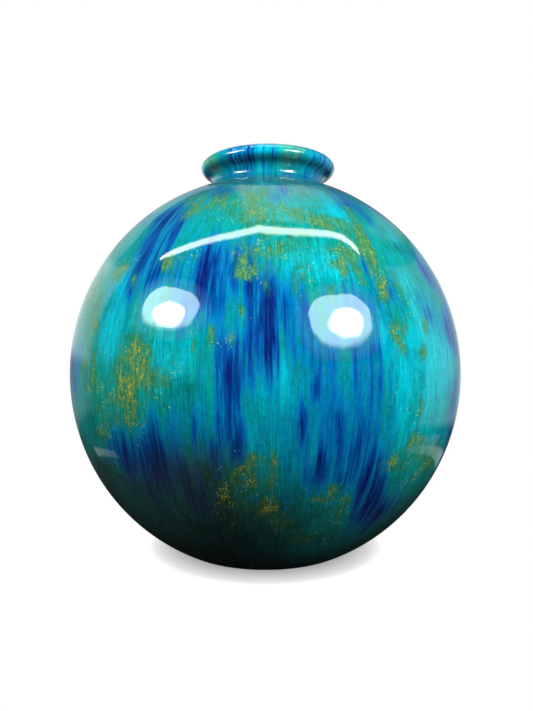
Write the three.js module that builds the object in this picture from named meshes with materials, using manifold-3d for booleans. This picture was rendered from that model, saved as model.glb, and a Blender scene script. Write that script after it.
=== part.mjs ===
// A hand blown art glass vase: a near globe with a short neck and a rolled collar, made of cased glass.
// Millimetres, +Z up, the axis on Z and the flat base on z = 0. The front faces -Y.
//
// The wall is three shells of glass, one inside the other: a clear casing, a turquoise colour layer and
// an opal lining. Streaks of cobalt and patches of aventurine lie in shallow pockets in the outer face
// of the colour layer, under the casing. A depth is a distance inwards from the vase's outer skin.
import * as THREE from "three";
import { mergeVertices } from "three/addons/utils/BufferGeometryUtils.js";
import Module from "manifold-3d";

// The globe.
const BODY_RADIUS = 105;
const BODY_CENTRE_Z = 95;
const BODY_RISE = 106.7;
const BODY_DROP = 106;

// The rolled collar: an oval roll of glass, and the one concave arc that is the neck below it.
const ROLL_RADIUS = 30.2;
const ROLL_Z = 208.1;
const ROLL_HALF_WIDTH = 6.8;
const ROLL_HALF_HEIGHT = 4.7;
const NECK_ARC_RADIUS = 34.4;
const NECK_ARC_Z = 200.1;

// The base: a ground flat ring round a polished hollow where the pontil was cut off.
const PONTIL_RADIUS = 20;
const PONTIL_DEPTH = 1.4;
const HEEL_ROUNDING = 6;
const BASE_CASING = 4;
const INNER_HEEL_ROUNDING = 16;

// The bore of the neck and the bowl.
const THROAT_RADIUS = 23.2;
const THROAT_ROUNDING = 8;
const WALL = 5.8;
const FLOOR_Z = 11;

// The shells.
const GAP = 0.3;
const CASING = 1.8;
const COLOUR = 1.4;
const COLOUR_OUTSIDE = CASING + GAP;
const COLOUR_INSIDE = COLOUR_OUTSIDE + COLOUR;
const LINING_OUTSIDE = COLOUR_INSIDE + GAP;
const INLAY = 0.5;
const POCKET_PLAY = 0.4;

// Facets.
const SEGMENTS = 36;
const BODY_STEPS = 16;
const ROLL_STEPS = 6;
const NECK_STEPS = 3;
const CORNER_STEPS = 2;
const OUTLINE_STEPS = 14;

const DEGREE = Math.PI / 180;

// Streaks and patches: where the middle is (azimuth to the right of the front, height), the half
// width and half height along the surface, and the phase of the outline's unevenness.
const COBALT_STREAKS = {
  cobalt_streak_upper_left: { azimuth: -36, z: 153, width: 11, height: 20, phase: 0.4 },
  cobalt_streak_upper_centre: { azimuth: -16, z: 143, width: 12, height: 12, phase: 1.7 },
  cobalt_streak_centre: { azimuth: -2, z: 114, width: 8, height: 20, phase: 2.9 },
  cobalt_streak_lower_centre: { azimuth: -6, z: 70, width: 8, height: 14, phase: 4.1 },
  cobalt_streak_right: { azimuth: 17, z: 81, width: 14, height: 24, phase: 5.2 },
  cobalt_streak_lower_left: { azimuth: -32, z: 54, width: 18, height: 17, phase: 0.9 },
  cobalt_streak_lower_right: { azimuth: 31, z: 42, width: 8, height: 18, phase: 2.2 },
  cobalt_streak_right_side: { azimuth: 64, z: 112, width: 11, height: 24, phase: 3.3 },
  cobalt_streak_left_side: { azimuth: -66, z: 96, width: 11, height: 17, phase: 4.8 },
  cobalt_streak_back_right: { azimuth: 125, z: 92, width: 14, height: 30, phase: 1.2 },
  cobalt_streak_back_left: { azimuth: -142, z: 104, width: 15, height: 28, phase: 5.7 },
};
const AVENTURINE_PATCHES = {
  aventurine_patch_left: { azimuth: -34, z: 95, width: 14, height: 17, phase: 0.2 },
  aventurine_patch_left_side: { azimuth: -62, z: 132, width: 12, height: 14, phase: 2.4 },
  aventurine_patch_shoulder: { azimuth: -14, z: 177, width: 17, height: 12, phase: 3.8 },
  aventurine_patch_upper_right: { azimuth: 18, z: 146, width: 18, height: 13, phase: 5.0 },
  aventurine_patch_lower_centre: { azimuth: 2, z: 38, width: 17, height: 11, phase: 1.1 },
  aventurine_patch_right: { azimuth: 43, z: 92, width: 10, height: 24, phase: 4.4 },
  aventurine_patch_back_right: { azimuth: 158, z: 122, width: 16, height: 20, phase: 0.7 },
  aventurine_patch_back_left: { azimuth: -106, z: 78, width: 14, height: 20, phase: 3.1 },
};

const wasm = await Module();
wasm.setup();

// A point of an oval in the profile plane: x is the radius, y the height.
function ovalPoint(oval, angle) {
  return new THREE.Vector2(
    oval.r + oval.a * Math.cos(angle),
    oval.z + oval.b * Math.sin(angle),
  );
}

function ovalArc(oval, from, to, steps) {
  const points = [];
  for (let i = 0; i <= steps; i++) {
    points.push(ovalPoint(oval, from + ((to - from) * i) / steps));
  }
  return points;
}

// The angle, between two limits, at which an oval comes nearest to a point.
function nearestAngle(oval, target, from, to) {
  const tries = 2000;
  let best = from;
  let shortest = Infinity;
  for (let i = 0; i <= tries; i++) {
    const angle = from + ((to - from) * i) / tries;
    const distance = ovalPoint(oval, angle).distanceTo(target);
    if (distance < shortest) {
      shortest = distance;
      best = angle;
    }
  }
  return best;
}

// The rounded corner between a flat floor at floorZ and the globe's oval, seen from inside the glass.
function heel(oval, floorZ, rounding) {
  const a = oval.a - rounding;
  const b = oval.b - rounding;
  const sine = (oval.z - floorZ - rounding) / b;
  return {
    round: { r: a * Math.sqrt(1 - sine * sine), z: floorZ + rounding, a: rounding, b: rounding },
    angle: -Math.asin(sine),
  };
}

// The profile of the skin at a depth, from the edge of the base's flat to the inside of the collar.
function skin(depth, floorZ) {
  const lower = { r: 0, z: BODY_CENTRE_Z, a: BODY_RADIUS - depth, b: BODY_DROP - depth };
  const upper = { r: 0, z: BODY_CENTRE_Z, a: BODY_RADIUS - depth, b: BODY_RISE - depth };
  const roll = {
    r: ROLL_RADIUS,
    z: ROLL_Z,
    a: ROLL_HALF_WIDTH - depth,
    b: ROLL_HALF_HEIGHT - depth,
  };
  const corner = heel(lower, floorZ, HEEL_ROUNDING - depth / 2);
  const neck = new THREE.Vector2(NECK_ARC_RADIUS, NECK_ARC_Z);
  const shoulderAngle = nearestAngle(upper, neck, Math.PI / 4, Math.PI / 2);
  const underRoll = nearestAngle(roll, neck, -Math.PI, 0);
  const start = ovalPoint(upper, shoulderAngle).sub(neck);
  const end = ovalPoint(roll, underRoll).sub(neck);
  const startAngle = start.angle();
  const sweep = startAngle - end.angle();
  const arc = [];
  for (let i = 1; i < NECK_STEPS; i++) {
    const share = i / NECK_STEPS;
    const radius = start.length() + (end.length() - start.length()) * share;
    const angle = startAngle - sweep * share;
    arc.push(new THREE.Vector2(radius * Math.cos(angle), radius * Math.sin(angle)).add(neck));
  }
  const halfSteps = BODY_STEPS / 2;
  return [
    ...ovalArc(corner.round, -Math.PI / 2, corner.angle, CORNER_STEPS),
    ...ovalArc(lower, corner.angle, 0, halfSteps).slice(1),
    ...ovalArc(upper, 0, shoulderAngle, halfSteps).slice(1),
    ...arc,
    ...ovalArc(roll, underRoll, Math.PI, ROLL_STEPS),
  ];
}

function lathe(profile) {
  return new THREE.LatheGeometry(profile, SEGMENTS);
}

const at = (radius, z) => new THREE.Vector2(radius, z);

// The clear outer casing, from the ground base up and over the collar into the mouth.
function casingProfile() {
  return [
    at(0, PONTIL_DEPTH),
    at(PONTIL_RADIUS * 0.6, PONTIL_DEPTH * 0.64),
    at(PONTIL_RADIUS, 0),
    ...skin(0, 0),
    ...skin(CASING, BASE_CASING).reverse(),
    at(0, BASE_CASING),
  ];
}

// A closed shell that follows the skin between two depths.
function shellProfile(outside, inside, floorZ, thickness) {
  return [
    at(0, floorZ),
    ...skin(outside, floorZ),
    ...skin(inside, floorZ + thickness).reverse(),
    at(0, floorZ + thickness),
  ];
}

// The opal lining: it backs the colour layer, fills the collar's roll and is the wall of the bowl.
function liningProfile() {
  const bowlTop = { r: 0, z: BODY_CENTRE_Z, a: BODY_RADIUS - WALL, b: BODY_RISE - WALL };
  const bowlBottom = { r: 0, z: BODY_CENTRE_Z, a: BODY_RADIUS - WALL, b: BODY_DROP - WALL };
  const corner = heel(bowlBottom, FLOOR_Z, INNER_HEEL_ROUNDING);
  const throat = {
    r: THROAT_RADIUS + THROAT_ROUNDING,
    z: 0,
    a: THROAT_ROUNDING,
    b: THROAT_ROUNDING,
  };
  const sine = throat.r / (bowlTop.a + THROAT_ROUNDING);
  throat.z = BODY_CENTRE_Z + (bowlTop.b + THROAT_ROUNDING) * Math.sqrt(1 - sine * sine);
  const bowlAngle = Math.acos(sine);
  const edgeZ = ROLL_Z - GAP;
  const floorZ = BASE_CASING + COLOUR + 2 * GAP;
  const halfSteps = BODY_STEPS / 2;
  return [
    at(0, floorZ),
    ...skin(LINING_OUTSIDE, floorZ),
    at(ROLL_RADIUS - ROLL_HALF_WIDTH + LINING_OUTSIDE, edgeZ),
    at(ROLL_RADIUS - ROLL_HALF_WIDTH, edgeZ),
    at(THROAT_RADIUS, throat.z + THROAT_ROUNDING / 2),
    ...ovalArc(throat, Math.PI, Math.PI + bowlAngle, CORNER_STEPS),
    ...ovalArc(bowlTop, bowlAngle, 0, halfSteps).slice(1),
    ...ovalArc(bowlBottom, 0, corner.angle, halfSteps).slice(1),
    ...ovalArc(corner.round, corner.angle, -Math.PI / 2, CORNER_STEPS).slice(1),
    at(0, FLOOR_Z),
  ];
}

// A three.js geometry as a manifold-3d solid, with +Y turned up to +Z.
function solidOf(geometry) {
  const bare = geometry.clone();
  bare.deleteAttribute("normal");
  bare.deleteAttribute("uv");
  const merged = mergeVertices(bare, 1e-4);
  return new wasm.Manifold(
    new wasm.Mesh({
      numProp: 3,
      vertProperties: merged.attributes.position.array,
      triVerts: new Uint32Array(merged.index.array),
    }),
  );
}

function geometryOf(solid) {
  const mesh = solid.getMesh();
  const geometry = new THREE.BufferGeometry();
  geometry.setAttribute("position", new THREE.BufferAttribute(mesh.vertProperties, 3));
  geometry.setIndex(new THREE.BufferAttribute(mesh.triVerts, 1));
  geometry.computeVertexNormals();
  return geometry;
}

// A block with an inlay's uneven outline that runs outwards through the wall at the inlay's place.
function outlineBlock(place, play) {
  const shape = new THREE.Shape();
  for (let i = 0; i < OUTLINE_STEPS; i++) {
    const angle = (2 * Math.PI * i) / OUTLINE_STEPS;
    const unevenX = 1 + 0.1 * Math.sin(3 * angle + place.phase);
    const unevenY = 1 + 0.08 * Math.cos(4 * angle + place.phase);
    const x = (place.width * unevenX + play) * Math.cos(angle);
    const y = (place.height * unevenY + play) * Math.sin(angle);
    if (i === 0) {
      shape.moveTo(x, y);
    } else {
      shape.lineTo(x, y);
    }
  }
  shape.closePath();
  const block = new THREE.ExtrudeGeometry(shape, { depth: BODY_RADIUS / 2, bevelEnabled: false });
  const rise = Math.asin((place.z - BODY_CENTRE_Z) / BODY_RISE);
  const azimuth = place.azimuth * DEGREE;
  block.translate(0, 0, BODY_RADIUS * 0.7);
  block.rotateX(-rise);
  block.rotateY(azimuth);
  block.translate(0, BODY_CENTRE_Z, 0);
  return solidOf(block);
}

// The shells are turned about three.js's own Y axis, so the vase is built on Y and stood up on Z at
// the end. In that frame the front faces +Z.
const inlayBand = solidOf(
  lathe(shellProfile(COLOUR_OUTSIDE, COLOUR_OUTSIDE + INLAY, BASE_CASING + GAP, INLAY)),
);
const pocketBand = solidOf(
  lathe(
    shellProfile(
      COLOUR_OUTSIDE - 2 * GAP,
      COLOUR_OUTSIDE + INLAY + GAP,
      BASE_CASING - GAP,
      INLAY + 3 * GAP,
    ),
  ),
);

const clearGlass = new THREE.MeshStandardMaterial({
  color: "#d8ecea",
  roughness: 0.04,
  metalness: 0,
  transparent: true,
  opacity: 0.3,
});
const turquoiseGlass = new THREE.MeshStandardMaterial({ color: "#129fa8", roughness: 0.08, metalness: 0 });
const opalGlass = new THREE.MeshStandardMaterial({ color: "#cfe6e2", roughness: 0.1, metalness: 0 });
const cobaltGlass = new THREE.MeshStandardMaterial({ color: "#12309c", roughness: 0.08, metalness: 0 });
const aventurineGlass = new THREE.MeshStandardMaterial({
  color: "#8f8a2c",
  roughness: 0.25,
  metalness: 0.4,
});

const vase = new THREE.Group();
vase.name = "art_glass_vase";
vase.rotation.x = Math.PI / 2;

function addPiece(name, geometry, material) {
  const mesh = new THREE.Mesh(geometry, material);
  mesh.name = name;
  vase.add(mesh);
}

let colourLayer = solidOf(
  lathe(shellProfile(COLOUR_OUTSIDE, COLOUR_INSIDE, BASE_CASING + GAP, COLOUR)),
);

function addInlays(places, material) {
  for (const [name, place] of Object.entries(places)) {
    addPiece(name, geometryOf(inlayBand.intersect(outlineBlock(place, 0))), material);
    colourLayer = colourLayer.subtract(pocketBand.intersect(outlineBlock(place, POCKET_PLAY)));
  }
}

addPiece("clear_casing", lathe(casingProfile()), clearGlass);
addPiece("opal_lining", lathe(liningProfile()), opalGlass);
addInlays(COBALT_STREAKS, cobaltGlass);
addInlays(AVENTURINE_PATCHES, aventurineGlass);
addPiece("colour_layer", geometryOf(colourLayer), turquoiseGlass);

export default vase;
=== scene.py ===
"""Looks for a hand blown globe vase of cased glass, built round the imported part."""

import math

import bpy
import numpy as np
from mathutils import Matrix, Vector


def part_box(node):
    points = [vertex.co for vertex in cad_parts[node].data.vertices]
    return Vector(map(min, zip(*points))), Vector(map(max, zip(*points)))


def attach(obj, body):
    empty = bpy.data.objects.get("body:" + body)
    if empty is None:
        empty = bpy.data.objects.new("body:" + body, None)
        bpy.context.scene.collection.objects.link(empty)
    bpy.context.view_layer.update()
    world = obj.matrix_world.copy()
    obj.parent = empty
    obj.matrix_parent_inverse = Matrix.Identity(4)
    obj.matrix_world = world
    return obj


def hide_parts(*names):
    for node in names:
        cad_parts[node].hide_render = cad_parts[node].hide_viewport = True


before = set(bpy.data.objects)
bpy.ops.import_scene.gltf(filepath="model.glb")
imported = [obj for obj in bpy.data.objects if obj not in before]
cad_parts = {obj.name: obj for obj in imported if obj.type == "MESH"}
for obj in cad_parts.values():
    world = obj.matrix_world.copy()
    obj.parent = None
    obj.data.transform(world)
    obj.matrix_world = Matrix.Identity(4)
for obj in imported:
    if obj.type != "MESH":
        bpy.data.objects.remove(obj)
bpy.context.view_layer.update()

bl_info = {
    "name": "Art Glass Vase",
    "version": (1, 0, 0),
    "blender": (4, 5, 0),
    "location": "View3D > Sidebar > Vase",
    "description": "Builds a blown globe vase: casing, colour layer, lining, grains and the studio",
    "category": "Object",
}

CASING_LOW, CASING_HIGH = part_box("clear_casing")
RADIUS = (CASING_HIGH.x - CASING_LOW.x) / 2
HEIGHT = CASING_HIGH.z
COBALT_NODES = sorted(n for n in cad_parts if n.startswith("cobalt_streak"))
GOLD_NODES = sorted(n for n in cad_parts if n.startswith("aventurine_patch"))


# ---------------------------------------------------------------- values a user would change


def length(name, description, default):
    return bpy.props.FloatProperty(
        name=name, description=description, default=default, unit="LENGTH", precision=5
    )


def colour(name, description, default):
    return bpy.props.FloatVectorProperty(
        name=name, description=description, default=default, subtype="COLOR", size=3, min=0, max=1
    )


class VaseSizes(bpy.types.PropertyGroup):
    """Sizes of the blown form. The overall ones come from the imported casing."""

    radius: length("Radius", "Widest radius of the globe", RADIUS)
    middle: length("Middle", "Height of the widest ring", 0.095)
    rise: length("Rise", "How far the globe's oval reaches above the middle", 0.1067)
    drop: length("Drop", "How far the globe's oval reaches below the middle", 0.106)
    roll_radius: length("Roll radius", "Radius of the middle of the collar's roll", 0.0302)
    roll_height: length("Roll height", "Height of the middle of the roll", HEIGHT - 0.0047)
    roll_half_width: length("Roll half width", "Half the width of the roll", 0.0068)
    roll_half_height: length("Roll half height", "Half the height of the roll", 0.0047)
    neck_radius: length("Neck arc radius", "Radius of the middle of the neck's hollow arc", 0.0344)
    neck_height: length("Neck arc height", "Height of the middle of the neck's hollow arc", 0.2001)
    heel: length("Heel", "Rounding between the base and the globe", 0.006)
    throat: length("Throat", "Radius of the bore in the neck", 0.0232)
    wall: length("Wall", "Thickness of the whole wall", 0.0058)
    floor: length("Floor", "Thickness of the bottom", 0.011)
    pontil: length("Pontil", "Radius of the polished hollow under the base", 0.020)
    pontil_depth: length("Pontil depth", "Depth of the polished hollow", 0.0014)
    casing: length("Casing", "Thickness of the clear casing", 0.0021)
    colour: length("Colour", "Thickness of the colour layer", 0.0014)
    lap: length("Lap", "How far one layer is sunk in the next, where they are fused", 0.0002)
    lean: length("Lean", "How far the collar leans to the right, as blown by hand", 0.0014)
    segments: bpy.props.IntProperty(
        name="Segments", description="Steps round the vase", default=288, min=24
    )
    grain: length("Grain", "Largest half width of an aventurine grain", 0.00028)
    grain_least: length("Least grain", "Smallest half width of a grain", 0.00010)
    grain_density: bpy.props.FloatProperty(
        name="Grain density", description="Grains on a square metre of a rich patch", default=4.2e6
    )


class VaseColours(bpy.types.PropertyGroup):
    """Colours of the glass, as linear light."""

    turquoise: colour("Turquoise", "Ground of the colour layer", (0.000, 0.262, 0.220))
    cyan: colour("Cyan", "Brighter drawn threads of the ground", (0.000, 0.430, 0.470))
    teal: colour("Teal", "Greener and deeper ground", (0.000, 0.150, 0.110))
    azure: colour("Azure", "Thin cobalt over turquoise", (0.000, 0.168, 0.385))
    cobalt: colour("Cobalt", "Full cobalt", (0.000, 0.056, 0.240))
    navy: colour("Navy", "Cobalt at its thickest", (0.001, 0.011, 0.105))
    moss: colour("Moss", "Green glass round the grains", (0.020, 0.200, 0.085))
    lagoon: colour("Lagoon", "Bluer ground between the cobalt strokes", (0.000, 0.200, 0.285))
    yellow: colour("Yellow", "Yellow glass in the middle of the richest patches", (0.520, 0.430, 0.025))
    # Painted shade: the dark brownish tint the lower glass darkens to, its warmth a painted reflection of
    # the floor.
    painted_shade_tint: colour("Smoke", "Thick dark glass towards the base", (0.019, 0.026, 0.020))
    # Painted reflection and shade: the grey the glass is streaked to round the waist, standing in for the
    # collar mirrored in the shoulder.
    painted_neck_reflection: colour("Ash", "Greyer rings worked into the neck", (0.060, 0.130, 0.115))
    olive: colour("Olive", "Ochre green of the richest patches", (0.140, 0.200, 0.022))
    gold: colour("Gold", "Metallic grains", (0.640, 0.580, 0.012))
    opal: colour("Opal", "Lining", (0.42, 0.60, 0.58))
    opal_shade: colour("Opal shade", "Cloudier swirls in the lining", (0.26, 0.50, 0.50))
    floor: colour("Floor", "Plain pale floor", (1.0, 1.0, 1.0))


# ---------------------------------------------------------------- profiles


def oval_point(oval, angle):
    r, z, a, b = oval
    return np.array([r + a * math.cos(angle), z + b * math.sin(angle)])


def oval_arc(oval, start, end, steps):
    return [oval_point(oval, start + (end - start) * i / steps) for i in range(steps + 1)]


def nearest_angle(oval, target, start, end):
    """The angle between start and end at which an oval comes nearest to a point."""
    angles = np.linspace(start, end, 4001)
    r, z, a, b = oval
    gaps = np.hypot(r + a * np.cos(angles) - target[0], z + b * np.sin(angles) - target[1])
    return float(angles[int(gaps.argmin())])


def heel_arc(oval, floor, rounding):
    """The rounded corner between a flat floor and the globe: its oval and where it ends."""
    _, middle, a, b = oval
    sine = (middle - floor - rounding) / (b - rounding)
    centre = (a - rounding) * math.sqrt(1 - sine * sine)
    return (centre, floor + rounding, rounding, rounding), -math.asin(sine)


def skin(s, depth, floor, end_depth, fine=1.0):
    """The profile at a depth under the outer skin, from the base's edge to inside the collar.
    Past the top of the roll the depth tapers to end_depth, as one layer laps over the next."""
    a = s.radius - depth
    lower = (0, s.middle, a, s.drop - depth)
    upper = (0, s.middle, a, s.rise - depth)
    roll = (s.roll_radius, s.roll_height, s.roll_half_width - depth, s.roll_half_height - depth)
    corner, corner_angle = heel_arc(lower, floor, s.heel - depth / 2)
    neck = np.array([s.neck_radius, s.neck_height])
    shoulder = nearest_angle(upper, neck, math.pi / 4, math.pi / 2)
    under = nearest_angle(roll, neck, -math.pi, 0)
    start, end = oval_point(upper, shoulder) - neck, oval_point(roll, under) - neck
    first, last = math.atan2(start[1], start[0]), math.atan2(end[1], end[0])
    last = last - 2 * math.pi if last > first else last
    neck_steps = max(4, int(14 * fine))
    arc = []
    for i in range(1, neck_steps):
        t = i / neck_steps
        reach = np.linalg.norm(start) * (1 - t) + np.linalg.norm(end) * t
        angle = first + (last - first) * t
        arc.append(neck + reach * np.array([math.cos(angle), math.sin(angle)]))
    outer_roll = (s.roll_radius, s.roll_height, s.roll_half_width, s.roll_half_height)
    steps = max(8, int(40 * fine))
    round_roll = []
    for i in range(steps + 1):
        angle = under + (math.pi - under) * i / steps
        taper = smooth((angle - math.pi / 2) / (math.pi / 2))
        here = depth * (1 - taper) + end_depth * taper
        r, z, a, b = outer_roll
        round_roll.append(oval_point((r, z, a - here, b - here), angle))
    body_steps = max(12, int(56 * fine))
    return [
        *oval_arc(corner, -math.pi / 2, corner_angle, max(3, int(8 * fine))),
        *oval_arc(lower, corner_angle, 0, body_steps)[1:],
        *oval_arc(upper, 0, shoulder, body_steps)[1:],
        *arc,
        *round_roll,
    ]


def smooth(t):
    t = min(max(t, 0.0), 1.0)
    return t * t * (3 - 2 * t)


def bore(s, edge):
    """The inside of the mouth, the throat and the bowl, from the collar down to the floor."""
    top = (0, s.middle, s.radius - s.wall, s.rise - s.wall)
    bottom = (0, s.middle, s.radius - s.wall, s.drop - s.wall)
    lip, bowl_heel = 0.008, 0.018
    corner, corner_angle = heel_arc(bottom, s.floor, bowl_heel)
    cosine = (s.throat + lip) / (top[2] + lip)
    throat = (s.throat + lip, s.middle + (top[3] + lip) * math.sqrt(1 - cosine**2), lip, lip)
    turn = math.acos(cosine)
    mouth = []
    steps = 6
    for i in range(1, steps):
        t = i / steps
        z = edge[1] * (1 - t) + throat[1] * t
        mouth.append(np.array([edge[0] + (s.throat - edge[0]) * smooth(t), z]))
    return [
        *mouth,
        *oval_arc(throat, math.pi, math.pi + turn, 10),
        *oval_arc(top, turn, 0, 40)[1:],
        *oval_arc(bottom, 0, corner_angle, 40)[1:],
        *oval_arc(corner, corner_angle, -math.pi / 2, 10)[1:],
        *(np.array([corner[0] * (1 - t), s.floor]) for t in (0.5, 1)),
    ]


def disc(edge, z, steps=4):
    """Flat points from the axis out to the edge of a disc."""
    return [np.array([edge * i / steps, z]) for i in range(steps)]


# Heights of the flat faces where the layers meet in the bottom, and the depth under the
# outer skin at which each face ends inside the collar.
COLOUR_FLOOR = 0.004
LINING_FLOOR = 0.0054
CASING_INNER_END = 0.0001
COLOUR_OUTER_END = 0.00006
COLOUR_INNER_END = 0.00016
LINING_OUTER_END = 0.00012
HIDDEN_FINENESS = 0.4


def casing_profile(s):
    hollow = [
        np.array([s.pontil * t, s.pontil_depth * (1 - t * t)]) for t in np.linspace(0, 1, 9)
    ]
    outer = skin(s, 0, 0, 0)
    top = COLOUR_FLOOR + s.lap
    inner = skin(s, s.casing + s.lap, top, CASING_INNER_END, HIDDEN_FINENESS)
    return hollow + outer + inner[::-1] + disc(inner[0][0], top)[::-1]


def colour_profile(s):
    inside = s.casing + s.colour + s.lap
    top = LINING_FLOOR + s.lap
    outer = skin(s, s.casing, COLOUR_FLOOR, COLOUR_OUTER_END)
    inner = skin(s, inside, top, COLOUR_INNER_END, HIDDEN_FINENESS)
    under = disc(outer[0][0], COLOUR_FLOOR)
    return under + outer + inner[::-1] + disc(inner[0][0], top)[::-1]


def lining_profile(s):
    outer = skin(s, s.casing + s.colour, LINING_FLOOR, LINING_OUTER_END, HIDDEN_FINENESS)
    return disc(outer[0][0], LINING_FLOOR) + outer + bore(s, outer[-1])


# ---------------------------------------------------------------- node tree helpers


def place(tree, kind, **values):
    """Adds a node, setting its properties, and its inputs by name or number."""
    node = tree.nodes.new(kind)
    inputs = values.pop("inputs", {})
    for key, value in values.items():
        setattr(node, key, value)
    for key, value in inputs.items():
        if isinstance(value, bpy.types.NodeSocket):
            tree.links.new(value, node.inputs[key])
        else:
            node.inputs[key].default_value = value
    return node


def sums(tree, operation, a, b=0.0, c=0.0):
    node = place(tree, "ShaderNodeMath", operation=operation, inputs={0: a, 1: b, 2: c})
    return node.outputs[0]


def swung(tree, value, amount, base):
    """The base, swung up and down by a value that runs from 0 to 1."""
    return sums(tree, "MULTIPLY_ADD", sums(tree, "SUBTRACT", value, 0.5), amount, base)


def scaled(tree, vector, factor):
    node = place(
        tree, "ShaderNodeVectorMath", operation="SCALE", inputs={0: vector, "Scale": factor}
    )
    return node.outputs[0]


def random_value(tree, seed, low=0.0, high=1.0):
    """A random number for each point, or a random vector if low is one."""
    vector = isinstance(low, tuple)
    first = 0 if vector else 2
    node = place(
        tree,
        "FunctionNodeRandomValue",
        data_type="FLOAT_VECTOR" if vector else "FLOAT",
        inputs={first: low, first + 1: high, "Seed": seed},
    )
    return node.outputs[0 if vector else 1]


def tree_with(name, sockets):
    """An empty Geometry Nodes tree with Geometry in and out and these named inputs."""
    tree = bpy.data.node_groups.new(name, "GeometryNodeTree")
    tree.interface.new_socket("Geometry", in_out="INPUT", socket_type="NodeSocketGeometry")
    for label, kind in sockets:
        tree.interface.new_socket(label, in_out="INPUT", socket_type=kind)
    tree.interface.new_socket("Geometry", in_out="OUTPUT", socket_type="NodeSocketGeometry")
    return tree, place(tree, "NodeGroupInput").outputs, place(tree, "NodeGroupOutput")


def grown(piece, tree, values):
    """Runs a tree on a piece as a modifier and keeps the result as the piece's plain mesh."""
    modifier = piece.modifiers.new(tree.name, "NODES")
    modifier.node_group = tree
    for item in tree.interface.items_tree:
        if item.in_out == "INPUT" and item.name in values:
            modifier[item.identifier] = values[item.name]
    graph = bpy.context.evaluated_depsgraph_get()
    mesh = bpy.data.meshes.new_from_object(piece.evaluated_get(graph))
    piece.modifiers.clear()
    piece.data = mesh
    mesh.name = piece.name
    return piece


def new_piece(name, points, faces=()):
    mesh = bpy.data.meshes.new(name)
    mesh.from_pydata([tuple(p) for p in points], (), faces)
    piece = bpy.data.objects.new(name, mesh)
    bpy.context.scene.collection.objects.link(piece)
    return piece


# ---------------------------------------------------------------- the lathe


def lathe_tree():
    """Turns a profile, a chain of points in the XZ plane, round the Z axis. The collar leans.
    It stores the attribute flow: round the vase in X and Y, and along the profile in Z."""
    tree, given, out = tree_with(
        "Turn a blown profile",
        [
            ("Segments", "NodeSocketInt"),
            ("Lean", "NodeSocketFloat"),
            ("Lean from", "NodeSocketFloat"),
            ("Lean to", "NodeSocketFloat"),
            ("Flow radius", "NodeSocketFloat"),
            ("Glass", "NodeSocketMaterial"),
        ],
    )
    rows = place(tree, "GeometryNodeAttributeDomainSize", inputs={0: given["Geometry"]}).outputs[0]
    columns = sums(tree, "ADD", given["Segments"], 1.0)
    grid = place(
        tree, "GeometryNodeMeshGrid", inputs={"Vertices X": columns, "Vertices Y": rows}
    ).outputs["Mesh"]
    index = place(tree, "GeometryNodeInputIndex").outputs[0]
    column = sums(tree, "FLOOR", sums(tree, "DIVIDE", sums(tree, "ADD", index, 0.5), rows))
    row = sums(tree, "SUBTRACT", index, sums(tree, "MULTIPLY", column, rows))
    position = place(tree, "GeometryNodeInputPosition").outputs[0]
    sampled = place(
        tree,
        "GeometryNodeSampleIndex",
        data_type="FLOAT_VECTOR",
        domain="POINT",
        inputs={"Geometry": given["Geometry"], "Value": position, "Index": row},
    ).outputs["Value"]
    along = place(
        tree,
        "GeometryNodeSampleIndex",
        data_type="FLOAT",
        domain="POINT",
        inputs={
            "Geometry": given["Geometry"],
            "Value": place(
                tree, "GeometryNodeInputNamedAttribute", data_type="FLOAT", inputs={"Name": "along"}
            ).outputs[0],
            "Index": row,
        },
    ).outputs["Value"]
    split = place(tree, "ShaderNodeSeparateXYZ", inputs={0: sampled}).outputs
    turn = sums(tree, "DIVIDE", sums(tree, "MULTIPLY", column, math.tau), given["Segments"])
    cosine, sine = sums(tree, "COSINE", turn), sums(tree, "SINE", turn)
    leaning = place(
        tree,
        "ShaderNodeMapRange",
        interpolation_type="SMOOTHSTEP",
        inputs={
            "Value": split["Z"],
            "From Min": given["Lean from"],
            "From Max": given["Lean to"],
            "To Max": given["Lean"],
        },
    ).outputs[0]
    x = sums(tree, "ADD", sums(tree, "MULTIPLY", split["X"], cosine), leaning)
    y = sums(tree, "MULTIPLY", split["X"], sine)
    there = place(tree, "ShaderNodeCombineXYZ", inputs={0: x, 1: y, 2: split["Z"]}).outputs[0]
    flow = place(
        tree,
        "ShaderNodeCombineXYZ",
        inputs={
            0: sums(tree, "MULTIPLY", cosine, given["Flow radius"]),
            1: sums(tree, "MULTIPLY", sine, given["Flow radius"]),
            2: along,
        },
    ).outputs[0]
    stored = place(
        tree,
        "GeometryNodeStoreNamedAttribute",
        data_type="FLOAT_VECTOR",
        domain="POINT",
        inputs={"Geometry": grid, "Name": "flow", "Value": flow},
    ).outputs[0]
    turned = place(
        tree, "GeometryNodeSetPosition", inputs={"Geometry": stored, "Position": there}
    ).outputs[0]
    joined = place(
        tree, "GeometryNodeMergeByDistance", inputs={"Geometry": turned, "Distance": 0.000002}
    ).outputs[0]
    shaded = place(tree, "GeometryNodeSetShadeSmooth", inputs={"Geometry": joined}).outputs[0]
    real = place(tree, "GeometryNodeRealizeInstances", inputs={"Geometry": shaded}).outputs[0]
    finish = place(
        tree, "GeometryNodeSetMaterial", inputs={"Geometry": real, "Material": given["Glass"]}
    ).outputs[0]
    tree.links.new(finish, out.inputs["Geometry"])
    return tree


def facing_out(mesh):
    """Turns every face of a closed mesh round if its volume says that they point inwards."""
    mesh.calc_loop_triangles()
    points = np.empty(len(mesh.vertices) * 3)
    mesh.vertices.foreach_get("co", points)
    corners = np.empty(len(mesh.loop_triangles) * 3, dtype=np.int32)
    mesh.loop_triangles.foreach_get("vertices", corners)
    a, b, c = points.reshape(-1, 3)[corners.reshape(-1, 3)].transpose(1, 0, 2)
    if (a * np.cross(b, c)).sum() < 0:
        mesh.flip_normals()


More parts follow.
